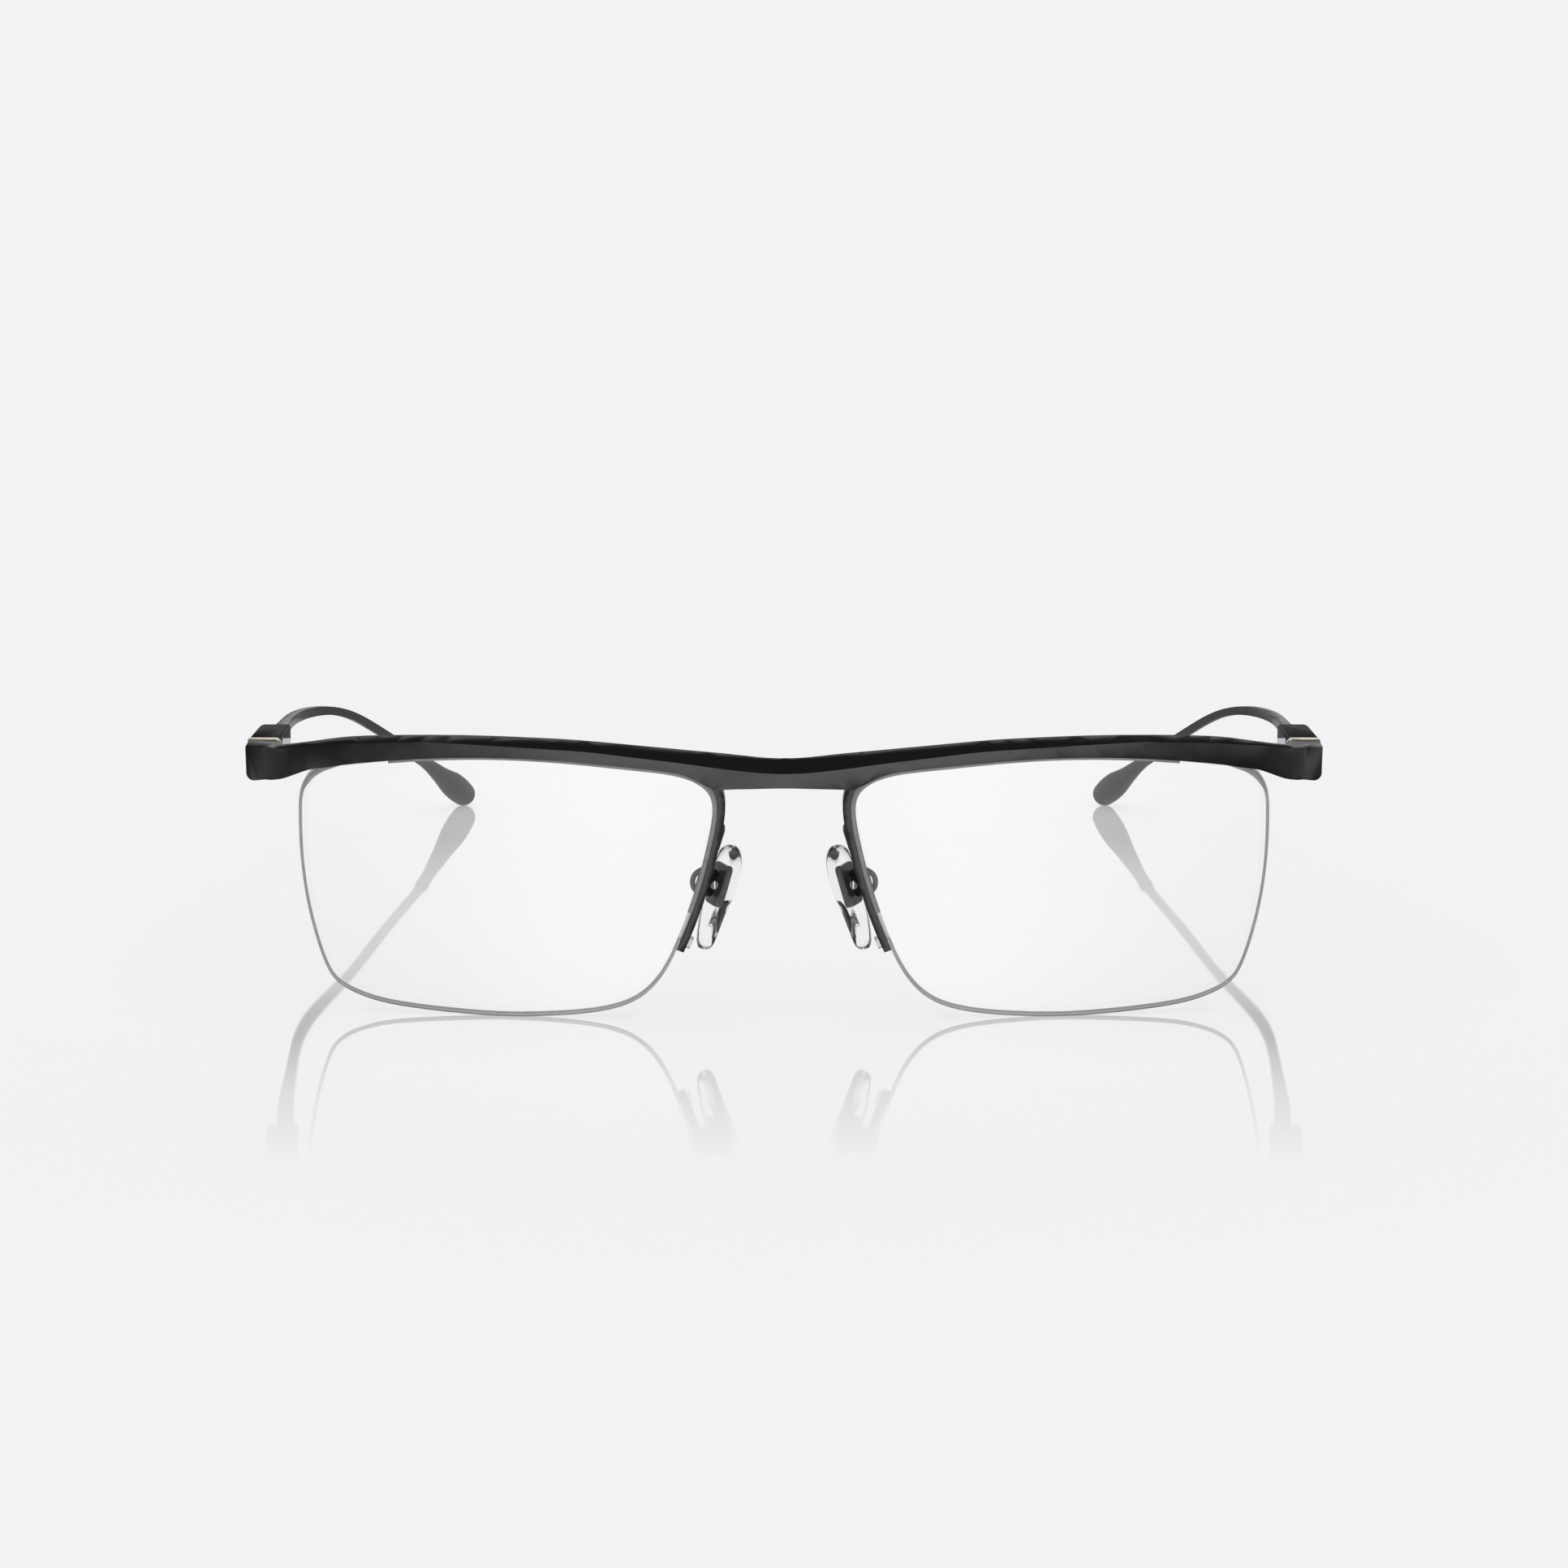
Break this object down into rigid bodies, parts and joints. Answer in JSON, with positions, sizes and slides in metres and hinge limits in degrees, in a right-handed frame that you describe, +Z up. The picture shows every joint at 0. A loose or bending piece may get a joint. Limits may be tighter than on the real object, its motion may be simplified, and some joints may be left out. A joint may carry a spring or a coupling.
{
  "type": "half rim eyeglasses",
  "caption": "Half-rim glasses with a straight metal brow bar, clear lenses held by nylon cord, nose pads on wire arms, and slim folding temples with gold caps.",
  "frame": {"origin": "middle of the footprint, on the surface that the open glasses stand on", "axes": "+X towards the wearer's left, +Y back along the temples, +Z up; the glasses stand on the lower lens edges and the temple tips"},
  "size_m": [0.1468, 0.151, 0.0388],
  "materials": {
    "black_metal": "satin black coated metal",
    "pale_gold": "pale gold plating, fine satin",
    "steel": "fine brushed steel",
    "lens": "clear polished demo lens",
    "nylon": "clear nylon",
    "silicone": "clear soft silicone",
    "pad_plate": "translucent rigid plate",
    "black_tip": "satin black"
  },
  "bodies": {
    "front": {"brow_bar": "black_metal", "right_lens": "lens", "right_rim": "black_metal", "right_rim_liner": "nylon", "right_nylon_cord": "nylon", "right_front_hinge": "steel", "right_hinge_screw": "steel", "right_pad_box": "steel", "right_pad_screw": "steel", "right_pad_arm": "black_metal", "left_lens": "lens", "left_rim": "black_metal", "left_rim_liner": "nylon", "left_nylon_cord": "nylon", "left_front_hinge": "steel", "left_hinge_screw": "steel", "left_pad_box": "steel", "left_pad_screw": "steel", "left_pad_arm": "black_metal"},
    "right_temple_arm": {"right_gold_cap": "pale_gold", "right_temple": "black_metal", "right_temple_hinge": "steel", "right_temple_wire": "black_metal", "right_temple_tip": "black_tip"},
    "right_pad": {"right_nose_pad": "silicone", "right_pad_insert": "pad_plate"},
    "left_temple_arm": {"left_gold_cap": "pale_gold", "left_temple": "black_metal", "left_temple_hinge": "steel", "left_temple_wire": "black_metal", "left_temple_tip": "black_tip"},
    "left_pad": {"left_nose_pad": "silicone", "left_pad_insert": "pad_plate"}
  },
  "joints": [
    {"name": "right_temple_fold", "type": "hinge", "parent": "front", "child": "right_temple_arm", "pos_m": [-0.065, -0.0626, 0.03383], "axis": [0, 0, -1], "range_deg": [0, 84]},
    {"name": "left_temple_fold", "type": "hinge", "parent": "front", "child": "left_temple_arm", "pos_m": [0.065, -0.0626, 0.03383], "axis": [0, 0, 1], "range_deg": [0, 79]},
    {"name": "right_pad_rock", "type": "hinge", "parent": "front", "child": "right_pad", "pos_m": [-0.00985, -0.06465, 0.01758], "axis": [-0.4963, 0.8596, 0.1213], "range_deg": [-8, 8]},
    {"name": "left_pad_rock", "type": "hinge", "parent": "front", "child": "left_pad", "pos_m": [0.00985, -0.06465, 0.01758], "axis": [0.4963, 0.8596, 0.1213], "range_deg": [-8, 8]}
  ]
}
